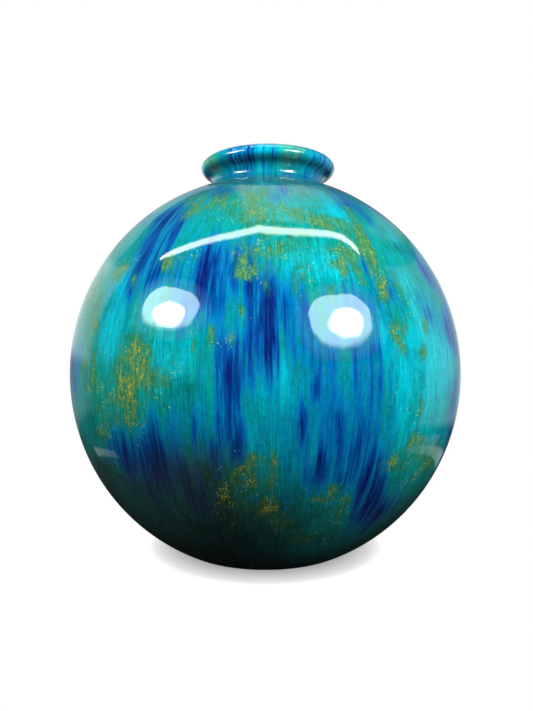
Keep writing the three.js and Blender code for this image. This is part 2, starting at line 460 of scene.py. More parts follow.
def turned(name, profile, s, material, tree):
    """A closed glass shell turned from its profile."""
    keep = [profile[0]]
    for point in profile[1:]:
        if np.linalg.norm(point - keep[-1]) > 0.00002:
            keep.append(point)
    piece = new_piece(name, [(r, 0, z) for r, z in keep])
    steps = np.linalg.norm(np.diff(np.array(keep), axis=0), axis=1)
    along = piece.data.attributes.new("along", "FLOAT", "POINT")
    along.data.foreach_set("value", np.concatenate([[0], np.cumsum(steps)]).astype(np.float32))
    values = {
        "Segments": s.segments,
        "Lean": s.lean,
        "Lean from": s.middle + 0.8 * s.rise,
        "Lean to": s.roll_height,
        "Flow radius": s.radius,
        "Glass": material,
    }
    grown(piece, tree, values)
    facing_out(piece.data)
    return piece


# ---------------------------------------------------------------- fields of colour


def vertex_array(mesh):
    found = np.empty(len(mesh.vertices) * 3, dtype=np.float32)
    mesh.vertices.foreach_get("co", found)
    return found.reshape(-1, 3)


def directions(points, s):
    """Unit directions from the middle of the globe."""
    away = points - np.array([0, 0, s.middle])
    return away / np.maximum(np.linalg.norm(away, axis=1, keepdims=True), 1e-9)


def eased(value, low, high):
    t = np.clip((value - low) / (high - low), 0, 1)
    return t * t * (3 - 2 * t)


def node_field(points, node, s, spread=1.0):
    """How much each point lies in a CAD inlay: 1 in its middle, near 0 past its outline."""
    place_of = vertex_array(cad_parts[node].data)
    middle = directions(place_of.mean(axis=0, keepdims=True), s)[0]
    east = np.cross([0, 0, 1], middle)
    east /= np.linalg.norm(east)
    up = np.cross(middle, east)
    inlay, here = directions(place_of, s), directions(points, s)
    width, height = np.abs(inlay @ east).max() * spread, np.abs(inlay @ up).max() * spread
    away = np.hypot(here @ east / width, here @ up / height)
    return np.where(here @ middle > 0, np.exp(-1.6 * away**2), 0)


def spot_field(points, spots, s):
    """The sum of soft spots: azimuth, height as a share of the radius, half sizes, amount."""
    total = np.zeros(len(points))
    azimuth = np.degrees(np.arctan2(points[:, 0], -points[:, 1]))
    height = (points[:, 2] - s.middle) / s.radius
    for centre, middle, half_azimuth, half_height, amount in spots:
        turn = (azimuth - centre + 180) % 360 - 180
        away = (turn / half_azimuth) ** 2 + ((height - middle) / half_height) ** 2
        total += amount * np.exp(-0.9 * away)
    return total


# The drawn pattern as it was picked up on the gather, and the painted shade: azimuth in degrees
# from the front, height from the middle of the globe, half width, half height and strength of each stroke.
COBALT_STROKES = [
    (-36, 0.62, 6, 0.16, 0.72), (-29.5, 0.66, 2.2, 0.07, 0.8), (-37, 0.72, 4, 0.05, 0.5),
    (-33, 0.47, 4, 0.09, 0.55), (-28, 0.43, 3, 0.06, 0.7), (-22, 0.82, 3, 0.03, 0.5),
    (-18, 0.80, 2, 0.03, 0.7), (-45, 0.71, 4, 0.03, 0.5), (-38, 0.36, 3, 0.10, 0.4),
    (-16, 0.46, 3.2, 0.11, 0.75), (-12, 0.36, 4, 0.08, 0.5), (-8, 0.50, 3, 0.06, 0.4),
    (-5, 0.39, 2.4, 0.09, 0.6), (-1, 0.33, 2.8, 0.12, 0.72), (1, 0.22, 2.2, 0.12, 0.82),
    (-4, 0.10, 5, 0.14, 0.55), (-8, -0.12, 2.2, 0.15, 1.1), (-9, 0.06, 2.0, 0.10, 0.7),
    (5, 0.31, 4, 0.11, 0.34), (8, 0.20, 3, 0.10, 0.34), (12, 0.11, 4, 0.07, 0.42),
    (2, 0.12, 2, 0.10, 0.4), (11, 0.00, 1.2, 0.06, 0.8), (8.5, -0.15, 1.5, 0.08, 1.15),
    (17, -0.13, 2.0, 0.09, 0.8), (18, 0.06, 4, 0.09, 0.25), (22.5, -0.05, 4, 0.15, 0.28),
    (23.5, -0.24, 2.2, 0.10, 0.50), (26.5, 0.04, 1.9, 0.14, 0.55), (13, -0.32, 1.6, 0.07, 1.1),
    (20, -0.28, 3, 0.09, 0.28), (27.5, -0.24, 1.6, 0.09, 0.5), (23, 0.13, 5, 0.05, 0.35),
    (27, 0.32, 3, 0.09, 0.5), (33.5, 0.37, 1.4, 0.05, 0.8), (28, 0.47, 1.5, 0.05, 0.5),
    (-36, -0.29, 6, 0.11, 0.50), (-32, -0.36, 4.0, 0.11, 0.65), (-27, -0.24, 1.8, 0.10, 0.6),
    (-25, -0.34, 5, 0.08, 0.55), (-19, -0.37, 3, 0.07, 0.4), (-22, -0.19, 1.6, 0.08, 0.3),
    (-10, -0.28, 4, 0.08, 0.35),
    (-17, -0.17, 1.5, 0.09, 0.55), (-40, -0.31, 3.5, 0.09, 0.4), (-18, -0.46, 5, 0.07, 0.6),
    (-13, -0.20, 1.5, 0.08, 0.35), (30, -0.47, 3.4, 0.10, 1.15), (34, -0.55, 5, 0.09, 0.9),
    (26, -0.41, 2.4, 0.07, 0.7), (38, -0.57, 5, 0.05, 0.7), (20, -0.39, 2, 0.05, 0.5),
    (28, -0.33, 2, 0.06, 0.7), (12, -0.36, 3, 0.06, 0.45), (-66, 0.07, 8, 0.08, 0.7),
    (-62, -0.03, 6, 0.06, 0.45), (58, 0.47, 6, 0.08, 0.75), (55, 0.51, 3, 0.05, 0.5),
    (57, 0.23, 2.6, 0.06, 0.9), (61, 0.17, 4, 0.08, 0.6), (64, 0.32, 3, 0.10, 0.4),
    (47, 0.28, 2.2, 0.04, 0.8), (45, 0.35, 2.5, 0.03, 0.4), (60, -0.10, 3, 0.10, 0.8),
    (63, -0.24, 3, 0.07, 0.8), (53, -0.25, 2, 0.06, 0.4), (36, 0.77, 4, 0.04, 0.55),
    (61, 0.79, 9, 0.05, 0.5), (40, 0.71, 3, 0.05, 0.4), (8, 0.82, 2.5, 0.05, 0.5),
    (4, 0.78, 1.5, 0.03, 0.7), (-60, 0.73, 9, 0.03, 0.45), (-35, 0.87, 26, 0.05, 0.42),
    (25, 0.88, 24, 0.05, 0.40), (0, 0.97, 900, 0.03, 0.35), (40, 0.80, 9, 0.05, 0.30),
    (-14, 0.42, 9, 0.13, 0.40), (-20, 0.28, 7, 0.08, 0.25), (20, 0.30, 9, 0.10, 0.30),
    (92, 0.25, 9, 0.20, 0.8), (84, -0.15, 5, 0.16, 0.7), (101, -0.30, 7, 0.14, 0.7),
    (118, 0.10, 6, 0.20, 0.9), (128, -0.12, 9, 0.22, 0.8), (137, 0.42, 8, 0.12, 0.7),
    (152, -0.25, 5, 0.14, 0.7), (168, 0.22, 6, 0.20, 0.8), (178, -0.18, 5, 0.18, 0.8),
    (-170, 0.48, 8, 0.12, 0.6), (-158, 0.00, 6, 0.20, 0.9), (-144, 0.18, 8, 0.22, 0.9),
    (-133, -0.25, 6, 0.16, 0.8), (-120, 0.34, 7, 0.15, 0.7), (-112, -0.02, 4, 0.16, 0.6),
    (-98, 0.20, 6, 0.18, 0.8), (-88, -0.22, 7, 0.14, 0.8), (-80, 0.42, 7, 0.12, 0.6),
    (-24, 1.055, 18, 0.07, 0.62), (-5, 1.05, 8, 0.05, 0.3), (64, 1.055, 16, 0.07, 0.7),
    (118, 1.055, 15, 0.07, 0.7), (-150, 1.055, 22, 0.07, 0.8), (-92, 1.055, 12, 0.07, 0.7),
]
GOLD_STROKES = [
    (-34, 0.06, 3.5, 0.12, 0.95), (-38, -0.04, 2.5, 0.07, 1.0), (-32, -0.05, 2.6, 0.13, 0.9),
    (-35, -0.16, 4, 0.06, 0.5), (-43, -0.14, 2.6, 0.09, 0.9), (-46, -0.22, 3, 0.05, 0.6),
    (-27, 0.05, 2.5, 0.08, 0.5), (-31, 0.12, 3, 0.05, 0.7), (-26, 0.00, 3, 0.07, 0.4),
    (-23, -0.06, 0.8, 0.08, 0.8), (-20, 0.05, 2, 0.08, 0.5), (-16, 0.15, 0.9, 0.04, 0.9),
    (-12, 0.18, 1.3, 0.05, 0.9), (-8, 0.18, 1.3, 0.03, 0.9), (-5, 0.28, 1.3, 0.03, 1.0),
    (-60, 0.40, 8, 0.13, 0.75), (-50, 0.25, 5, 0.09, 0.6), (-46, 0.46, 4, 0.05, 0.9),
    (-42, 0.50, 2.5, 0.03, 0.9), (-51, 0.05, 5, 0.12, 0.7), (-47, 0.00, 4, 0.10, 0.5),
    (-37, 0.42, 2, 0.03, 0.8), (-34, 0.34, 2, 0.06, 0.4), (-62, 0.20, 6, 0.07, 0.5),
    (-25, 0.78, 9, 0.06, 0.5), (-15, 0.73, 8, 0.08, 0.55), (-4, 0.72, 6, 0.12, 0.65),
    (5, 0.72, 6, 0.10, 0.6), (15, 0.68, 7, 0.05, 0.55), (-28, 0.71, 3, 0.04, 0.7),
    (-34, 0.80, 5, 0.04, 0.6), (20, 0.64, 5, 0.04, 0.8), (28, 0.60, 4, 0.06, 0.8),
    (32, 0.62, 2.5, 0.07, 0.8), (30, 0.51, 5, 0.05, 0.55), (22, 0.53, 5, 0.05, 0.45),
    (17, 0.80, 4, 0.04, 0.5), (33, 0.75, 3, 0.06, 0.5), (-27, 0.47, 4, 0.05, 0.8),
    (-19, 0.47, 1.7, 0.06, 0.8), (-7, 0.47, 2.5, 0.05, 0.8), (-3, 0.56, 4.5, 0.06, 0.55),
    (2, 0.50, 4, 0.08, 0.5), (-5, 0.42, 2.5, 0.03, 0.8), (0, 0.35, 1.4, 0.04, 0.7),
    (6, 0.56, 5, 0.06, 0.3), (12, 0.49, 4, 0.06, 0.25), (17, 0.42, 5, 0.06, 0.25),
    (20, 0.45, 3, 0.04, 0.5), (30, 0.41, 2.6, 0.06, 0.8), (34, 0.42, 3.5, 0.05, 0.6),
    (31, 0.35, 2, 0.04, 0.8), (38, 0.35, 3, 0.06, 0.5), (26, 0.43, 2, 0.04, 0.7),
    (32, 0.20, 1.7, 0.05, 0.7), (34, 0.16, 1.7, 0.06, 0.9), (37, 0.24, 2.6, 0.06, 0.7),
    (45, 0.23, 2, 0.04, 0.9), (42, 0.13, 1.4, 0.04, 0.7), (37, -0.08, 1.8, 0.07, 0.6),
    (41, -0.13, 1.6, 0.07, 0.7), (31, -0.06, 0.9, 0.03, 0.8), (39, -0.25, 1.8, 0.04, 1.0),
    (43, -0.26, 4, 0.03, 0.7), (34, -0.33, 4, 0.04, 0.8), (48, 0.00, 3, 0.05, 0.5),
    (45, -0.43, 5, 0.06, 0.6), (51, -0.29, 5, 0.04, 0.5), (55, -0.36, 6, 0.05, 0.5),
    (45, -0.35, 8, 0.06, 0.5), (-2, -0.27, 2.6, 0.04, 0.9), (-5, -0.35, 3, 0.06, 0.7),
    (-10, -0.43, 3, 0.07, 0.6), (-4, -0.38, 5, 0.08, 0.5), (2, -0.30, 1.4, 0.05, 0.7),
    (2, -0.39, 1.4, 0.05, 0.5), (1, -0.47, 1.8, 0.03, 1.3), (0, -0.51, 3, 0.04, 0.8),
    (-10, -0.53, 4, 0.08, 0.5), (15, -0.46, 3, 0.02, 0.9), (18, -0.43, 2, 0.03, 0.9),
    (22, -0.47, 2.2, 0.04, 0.9), (20, -0.54, 3, 0.05, 0.6), (12, -0.43, 2, 0.03, 0.5),
    (5, -0.56, 4, 0.05, 0.5), (14, -0.66, 12, 0.08, 0.45), (52, 0.95, 9, 0.03, 0.4),
    (-36.5, 0.02, 1.2, 0.10, 0.5), (-30, 0.02, 1.4, 0.12, 0.5), (-20, 0.90, 20, 0.05, 0.45),
    (18, 0.86, 16, 0.05, 0.45),
    (86, 0.05, 6, 0.10, 0.7), (97, 0.45, 8, 0.10, 0.7), (108, -0.12, 5, 0.14, 0.8),
    (143, 0.12, 8, 0.14, 0.8), (160, 0.55, 12, 0.10, 0.8), (162, -0.10, 6, 0.12, 0.7),
    (-176, 0.02, 5, 0.10, 0.6), (-150, -0.35, 9, 0.08, 0.7), (-128, 0.05, 6, 0.12, 0.8),
    (-108, 0.35, 6, 0.10, 0.6), (-102, -0.15, 7, 0.14, 0.8), (-85, 0.10, 6, 0.12, 0.7),
    (120, 0.72, 16, 0.07, 0.7), (-120, 0.72, 18, 0.07, 0.7), (-160, 0.75, 14, 0.06, 0.6),
    (-58, 1.055, 13, 0.07, 0.9), (24, 1.055, 14, 0.07, 0.85), (150, 1.055, 18, 0.07, 0.7),
    (-118, 1.055, 10, 0.07, 0.7), (14, 0.60, 1.6, 0.03, 0.6), (8, 0.36, 1.2, 0.05, 0.6),
    (11, 0.40, 1.2, 0.05, 0.5), (16, 0.34, 1.4, 0.04, 0.6), (-2, 0.44, 1.2, 0.05, 0.6),
]
BRIGHT_STROKES = [
    (25, 0.70, 5, 0.06, 0.9), (45, 0.10, 10, 0.13, 0.7), (33, -0.10, 3, 0.10, 0.8),
    (-42, 0.46, 3, 0.07, 0.8), (-40, 0.38, 2.5, 0.09, 0.8), (-38, 0.14, 4, 0.07, 0.5),
    (3, 0.00, 5, 0.10, 0.9), (-3.5, -0.22, 1.8, 0.08, 1.0), (29, 0.15, 2, 0.10, 0.6),
    (42, 0.42, 4, 0.05, 0.4), (-20, 0.00, 8, 0.10, 0.05), (3.5, -0.16, 2.6, 0.14, 0.9),
    (-35, 0.46, 1.8, 0.04, 0.8), (13, -0.12, 1.8, 0.15, 0.8), (18, 0.45, 7, 0.09, 0.8),
    (8, 0.46, 5, 0.06, 0.8), (-45, 0.15, 4, 0.10, 0.6),
    (27, 0.27, 3, 0.10, 0.5), (33, 0.05, 3, 0.10, 0.7), (1, 0.88, 6, 0.03, 0.5),
    (110, 0.28, 9, 0.14, 0.6), (150, -0.05, 8, 0.12, 0.5), (-170, 0.15, 9, 0.16, 0.6),
    (-138, 0.48, 8, 0.10, 0.5), (-120, -0.12, 6, 0.12, 0.5), (75, 0.00, 5, 0.14, 0.5),
    (-4, 1.055, 10, 0.07, 0.9), (46, -0.05, 12, 0.30, 0.6), (48, 0.20, 10, 0.12, 0.4),
    (-38, 0.25, 6, 0.12, 0.5), (-24, 0.08, 6, 0.10, 0.4),
]
DEEP_STROKES = [
    (-51, -0.17, 4, 0.08, 0.7), (-53, 0.02, 1.6, 0.10, 0.4), (-46, 0.30, 3, 0.05, 0.6),
    (-30, 0.84, 8, 0.03, 0.5), (30, 0.44, 2, 0.04, 0.8), (45, 0.56, 9, 0.03, 0.5),
    (-5, 0.93, 30, 0.02, 0.5), (20, 0.90, 14, 0.02, 0.7), (-15, -0.48, 6, 0.10, 0.6),
    (6, -0.46, 7, 0.10, 0.7), (-2, -0.60, 22, 0.10, 0.8), (-14, -0.36, 6, 0.10, 0.5),
    (40, -0.42, 5, 0.06, 0.3), (30, 0.57, 3, 0.05, 0.3),
    (-12, 0.84, 5, 0.03, 0.4), (8, 0.46, 6, 0.04, 0.2), (-20, -0.06, 6, 0.12, 0.55),
]
# Painted shade: darkening towards the base, down the left side, at the back and round the shoulder,
# standing in for shade where the lamps light the vase less.
PAINTED_SHADE_STROKES = [
    (0, -0.98, 900, 0.42, 0.97), (-32, -0.55, 24, 0.22, 0.60), (-20, -0.30, 14, 0.10, 0.30),
    (-26, -0.62, 12, 0.12, 0.25), (50, -0.62, 16, 0.16, 0.4), (-54, -0.42, 11, 0.16, 0.60),
    (-46, -0.58, 12, 0.14, 0.4), (180, -0.55, 60, 0.20, 0.4),
    (0, 0.92, 900, 0.09, 0.42), (-24, -0.55, 12, 0.14, 0.30), (2, -0.56, 16, 0.12, 0.22),
    (0, -0.42, 900, 0.16, 0.06), (-15, -0.42, 14, 0.15, 0.28), (-12, -0.30, 8, 0.10, 0.22),
]
SEA_STROKES = [
    (8, -0.20, 24, 0.24, 0.75), (22, 0.05, 9, 0.16, 0.50), (-14, -0.05, 8, 0.16, 0.15),
    (-24, -0.24, 14, 0.12, 0.20), (55, 0.25, 10, 0.16, 0.50), (0, 0.30, 10, 0.08, 0.30),
    (140, -0.10, 34, 0.30, 0.80), (-130, -0.05, 40, 0.30, 0.80),
]


def store(mesh, name, values):
    made = mesh.attributes.new(name, "FLOAT", "POINT")
    made.data.foreach_set("value", np.asarray(values, dtype=np.float32))


def store_fields(mesh, s):
    """Keeps on a mesh how much of each colour every point has, how much painted shade, and where the opal
    edge is.
    """
    points = vertex_array(mesh)
    cobalt = 0.25 * sum(node_field(points, n, s) for n in COBALT_NODES)
    gold = 0.2 * sum(node_field(points, n, s) for n in GOLD_NODES)
    cobalt = cobalt + spot_field(points, COBALT_STROKES, s)
    store(mesh, "cobalt", np.clip(1.12 * cobalt**0.92 / (1 + 0.20 * cobalt), 0, 1.6))
    store(mesh, "gold", np.clip(gold + spot_field(points, GOLD_STROKES, s), 0, 1.4))
    store(mesh, "bright", np.clip(spot_field(points, BRIGHT_STROKES, s), 0, 1))
    store(mesh, "deep", np.clip(spot_field(points, DEEP_STROKES, s), 0, 1))
    store(mesh, "sea", np.clip(spot_field(points, SEA_STROKES, s), 0, 1))
    # Painted shade: how far each point is darkened, standing in for shade.
    store(mesh, "shade", np.clip(spot_field(points, PAINTED_SHADE_STROKES, s), 0, 1))
    end = eased(points[:, 2], s.roll_height - 0.0012, s.roll_height + 0.0016)
    inside = np.hypot(points[:, 0] - s.lean, points[:, 1]) < s.roll_radius - 0.003
    store(mesh, "opal_edge", np.where(inside & (points[:, 2] > 0.15), 1 - end, 0))


# ---------------------------------------------------------------- materials

# Heights between which the worked rings, the collar's and the shoulder's own look, and the painted
# reflection and shade round the waist come in or go out.
WORKED_FROM = (0.180, 0.194)
WORKED_TO = (0.2085, 0.203)
COLLAR_FROM = (0.190, 0.202)
HATCHED_FROM = (0.145, 0.185)
WAIST_FROM = (0.184, 0.189)
WAIST_TO = (0.198, 0.193)


def new_material(name):
    material = bpy.data.materials.new(name)
    material.use_nodes = True
    material.node_tree.nodes.clear()
    return material, material.node_tree


def attribute(tree, name, output="Fac"):
    return place(tree, "ShaderNodeAttribute", attribute_name=name).outputs[output]


def stretched(tree, vector, scale):
    return place(
        tree, "ShaderNodeMapping", inputs={"Vector": vector, "Scale": scale}
    ).outputs[0]


def noise_of(tree, vector, scale, detail=2.0, roughness=0.5, distortion=0.0):
    return place(
        tree,
        "ShaderNodeTexNoise",
        inputs={
            "Vector": vector,
            "Scale": scale,
            "Detail": detail,
            "Roughness": roughness,
            "Distortion": distortion,
        },
    ).outputs[0]


def eased_node(tree, value, low, high, to_low=0.0, to_high=1.0):
    return place(
        tree,
        "ShaderNodeMapRange",
        interpolation_type="SMOOTHSTEP",
        inputs={
            "Value": value,
            "From Min": low,
            "From Max": high,
            "To Min": to_low,
            "To Max": to_high,
        },
    ).outputs[0]


def between(tree, value, rise, fall):
    """1 between two soft edges. Each edge is given by where it is 0 and where it is 1."""
    return sums(tree, "MULTIPLY", eased_node(tree, value, *rise), eased_node(tree, value, *fall))


def emission(tree, hue, strength=1.0):
    inputs = {"Color": hue, "Strength": strength}
    return place(tree, "ShaderNodeEmission", inputs=inputs).outputs[0]


def mixed(tree, factor, a, b):
    node = place(tree, "ShaderNodeMix", data_type="RGBA", clamp_factor=True)
    for socket, value in ((node.inputs[0], factor), (node.inputs[6], a), (node.inputs[7], b)):
        if isinstance(value, bpy.types.NodeSocket):
            tree.links.new(value, socket)
        elif isinstance(value, (int, float)):
            socket.default_value = value
        else:
            socket.default_value = (*value, 1)
    return node.outputs[2]


def finish_material(tree, surface):
    place(tree, "ShaderNodeOutputMaterial", inputs={"Surface": surface})


def clear_glass():
    """Clear fire polished casing. Lamps and soft light pass straight through it."""
    material, tree = new_material("clear_casing_glass")
    where = place(tree, "ShaderNodeTexCoord").outputs["Object"]
    flow = attribute(tree, "flow", "Vector")
    wave = noise_of(tree, where, 22, 1.0)
    rings = noise_of(tree, stretched(tree, flow, (0.04, 0.04, 1)), 620, 2.0)
    height = place(tree, "ShaderNodeSeparateXYZ", inputs={0: where}).outputs["Z"]
    worked = between(tree, height, WORKED_FROM, WORKED_TO)
    swell = place(
        tree, "ShaderNodeBump", inputs={"Strength": 0.10, "Distance": 0.004, "Height": wave}
    ).outputs[0]
    bump = place(
        tree,
        "ShaderNodeBump",
        inputs={
            "Strength": 0.5,
            "Distance": 0.0004,
            "Height": sums(tree, "MULTIPLY", rings, worked),
            "Normal": swell,
        },
    ).outputs[0]
    glass = place(
        tree,
        "ShaderNodeBsdfPrincipled",
        inputs={
            "Base Color": (0.965, 0.995, 1.0, 1),
            "Roughness": 0.012,
            "IOR": 1.5,
            "Transmission Weight": 1.0,
            "Normal": bump,
        },
    ).outputs[0]
    through = place(
        tree, "ShaderNodeBsdfTransparent", inputs={"Color": (0.96, 0.99, 1.0, 1)}
    ).outputs[0]
    path = place(tree, "ShaderNodeLightPath").outputs
    soft = sums(tree, "MAXIMUM", path["Is Shadow Ray"], path["Is Diffuse Ray"])
    mix = place(tree, "ShaderNodeMixShader", inputs={0: soft, 1: glass, 2: through}).outputs[0]
    finish_material(tree, mix)
    return material


def colour_glass(c):
    """Turquoise glass drawn out in upright threads, with feathered cobalt and mossy gold. Painted shade
    darkens it towards the base, a painted reflection greys the waist and painted light brightens the
    collar.
    """
    material, tree = new_material("turquoise_colour_glass")
    flow = attribute(tree, "flow", "Vector")
    where = place(tree, "ShaderNodeTexCoord").outputs["Object"]
    broad = noise_of(tree, stretched(tree, flow, (1, 1, 0.15)), 230, 3.0, 0.5, 0.2)
    fine = noise_of(tree, stretched(tree, flow, (1, 1, 0.05)), 560, 3.0, 0.6)
    hair = noise_of(tree, stretched(tree, flow, (1, 1, 0.055)), 1400, 2.0, 0.65)
    blotch = noise_of(tree, stretched(tree, flow, (1, 1, 0.5)), 55, 3.0, 0.55, 0.4)
    cloud = noise_of(tree, where, 95, 4.0, 0.6, 0.3)
    mottle = noise_of(tree, stretched(tree, flow, (1, 1, 0.42)), 240, 5.0, 0.68, 0.2)
    speck = noise_of(tree, stretched(tree, flow, (1, 1, 0.6)), 620, 5.0, 0.78)

    height = place(tree, "ShaderNodeSeparateXYZ", inputs={0: where}).outputs["Z"]
    collar = eased_node(tree, height, *COLLAR_FROM)
    broad = eased_node(tree, broad, 0.3, 0.7)
    hair = eased_node(tree, hair, 0.3, 0.7)
    fine = eased_node(tree, fine, 0.32, 0.68)
    threads = sums(tree, "MULTIPLY_ADD", fine, 0.5, sums(tree, "MULTIPLY", hair, 0.5))
    mottle = eased_node(tree, mottle, 0.34, 0.66)
    bright = swung(tree, blotch, 1.8, attribute(tree, "bright"))
    bright = swung(tree, threads, 0.5, bright)
    ground = mixed(tree, eased_node(tree, bright, -0.05, 0.85), c.turquoise, c.cyan)
    low = swung(tree, cloud, 1.8, attribute(tree, "deep"))
    ground = mixed(tree, eased_node(tree, low, 0.0, 0.8, 0, 0.9), ground, c.teal)
    sea = swung(tree, broad, 0.5, attribute(tree, "sea"))
    ground = mixed(tree, eased_node(tree, sea, 0.05, 0.85, 0, 0.95), ground, c.lagoon)

    body = sums(tree, "MULTIPLY_ADD", broad, 0.50, 0.36)
    body = sums(tree, "MULTIPLY_ADD", threads, 0.60, body)
    rich = sums(tree, "MULTIPLY", attribute(tree, "cobalt"), body)
    hatched = sums(tree, "MAXIMUM", collar, eased_node(tree, height, *HATCHED_FROM, 0.1, 0.8))
    crumbs = sums(tree, "SUBTRACT", eased_node(tree, speck, 0.36, 0.64), 0.5)
    crumbs = sums(tree, "MULTIPLY", crumbs, hatched)
    rich = sums(tree, "MULTIPLY_ADD", crumbs, 0.62, rich)
    swing = sums(tree, "MULTIPLY_ADD", collar, 1.2, 0.60)
    rich = swung(tree, threads, swing, rich)
    sway = sums(tree, "MULTIPLY_ADD", collar, 0.5, 0.26)
    rich = swung(tree, broad, sway, rich)
    stained = mixed(tree, eased_node(tree, rich, 0.05, 0.50, 0, 0.94), ground, c.azure)
    stained = mixed(tree, eased_node(tree, rich, 0.34, 0.86, 0, 1), stained, c.cobalt)
    stained = mixed(tree, eased_node(tree, rich, 0.85, 1.35, 0, 1), stained, c.navy)

    veil = sums(tree, "MULTIPLY_ADD", mottle, 1.0, 0.12)
    veil = sums(tree, "MULTIPLY_ADD", threads, 0.32, veil)
    mossy = sums(tree, "MULTIPLY", attribute(tree, "gold"), veil)
    mossy = swung(tree, cloud, 1.15, mossy)
    mossy = sums(tree, "MULTIPLY_ADD", crumbs, -0.5, mossy)
    green = mixed(tree, eased_node(tree, mossy, 0.14, 0.80, 0, 0.85), stained, c.moss)
    ochre = sums(tree, "MULTIPLY", eased_node(tree, mossy, 0.36, 1.05), eased_node(tree, speck, 0.40, 0.60))
    green = mixed(tree, sums(tree, "MULTIPLY", ochre, 0.80), green, c.olive)
    spark = sums(tree, "MULTIPLY", eased_node(tree, mossy, 0.68, 1.15), eased_node(tree, speck, 0.54, 0.66))
    green = mixed(tree, sums(tree, "MULTIPLY", spark, 0.9), green, c.yellow)
    streaks_and_collar_light = sums(tree, "MULTIPLY_ADD", hair, 0.46, 0.63)
    streaks_and_collar_light = sums(tree, "MULTIPLY_ADD", eased_node(tree, speck, 0.34, 0.66), 0.36, streaks_and_collar_light)
    # Painted light: the collar's colour is made half as bright again, standing in for even light on the
    # collar.
    streaks_and_collar_light = sums(tree, "MULTIPLY", streaks_and_collar_light, sums(tree, "MULTIPLY_ADD", collar, 0.5, 1.0))
    # Painted reflection and shade: grey rings round the waist, standing in for the collar mirrored there
    # and the neck's shade.
    rings = noise_of(tree, stretched(tree, flow, (0.06, 0.06, 1)), 900, 3.0, 0.6)
    waist = between(tree, height, WAIST_FROM, WAIST_TO)
    waist = sums(tree, "MULTIPLY", waist, eased_node(tree, rings, 0.35, 0.62, 0.15, 0.75))
    green = mixed(tree, waist, green, c.painted_neck_reflection)
    # Painted shade: the colour darkens towards the base to a dark brownish tint, whose warmth stands in for
    # a reflection of the floor.
    painted_shade_amount = sums(tree, "MULTIPLY", attribute(tree, "shade"), 0.86)
    painted_shade_tint = mixed(tree, painted_shade_amount, (0.0, 0.0, 0.0), c.painted_shade_tint)
    green = mixed(tree, painted_shade_amount, green, painted_shade_tint)
    final = mixed(tree, attribute(tree, "opal_edge"), scaled(tree, green, streaks_and_collar_light), c.opal)
    bump = place(
        tree, "ShaderNodeBump", inputs={"Strength": 0.2, "Distance": 0.0002, "Height": threads}
    ).outputs[0]
    body = place(
        tree,
        "ShaderNodeBsdfPrincipled",
        inputs={
            "Base Color": final,
            "Roughness": eased_node(tree, threads, 0.2, 0.8, 0.42, 0.6),
            "Specular IOR Level": 0.0,
            "Normal": bump,
        },
    ).outputs[0]
    finish_material(tree, body)
    return material


def opal_glass(c):
    """Milky lining with faint swirls from the blowing."""
    material, tree = new_material("opal_lining_glass")
    flow = attribute(tree, "flow", "Vector")
    swirl = noise_of(tree, stretched(tree, flow, (1, 1, 0.35)), 60, 4.0, 0.55, 0.8)
    seed = noise_of(tree, flow, 420, 2.0)
    milk = mixed(tree, eased_node(tree, swirl, 0.38, 0.7), c.opal, c.opal_shade)
    bump = place(
        tree, "ShaderNodeBump", inputs={"Strength": 0.15, "Distance": 0.0006, "Height": swirl}
    ).outputs[0]
    body = place(
        tree,
        "ShaderNodeBsdfPrincipled",
        inputs={
            "Base Color": milk,
            "Roughness": eased_node(tree, seed, 0.3, 0.7, 0.05, 0.11),
            "Coat Weight": 0.6,
            "Coat Roughness": 0.03,
            "Normal": bump,
        },
    ).outputs[0]
    finish_material(tree, body)
    return material


def grain_metal(c):
    """Crystals of metal in aventurine glass: each grain has its own tone."""
    material, tree = new_material("aventurine_grain_metal")
    tone = attribute(tree, "tone")
    warm = mixed(tree, eased_node(tree, tone, 0.0, 1.0), (0.40, 0.47, 0.01), c.gold)
    body = place(
        tree,
        "ShaderNodeBsdfPrincipled",
        inputs={
            "Base Color": warm,
            "Roughness": eased_node(tree, tone, 0, 1, 0.35, 0.6),
            "Metallic": 0.45,
            "Specular IOR Level": 0.0,
        },
    ).outputs[0]
    finish_material(tree, body)
    return material


# ---------------------------------------------------------------- aventurine grains

LIFT_SEED, TILT_SEED, SIZE_SEED, SHAPE_SEED, TONE_SEED = 3, 5, 7, 9, 11
GRAIN_LOWEST = 0.00005
GRAIN_HIGHEST = 0.0009
LEAST_RICHNESS = 0.02
STRAY_SHARE = 0.25
STRAY_RICHNESS = 0.001
STRAYS_ABOVE = 0.02
PATCH_SPREAD = 1.4


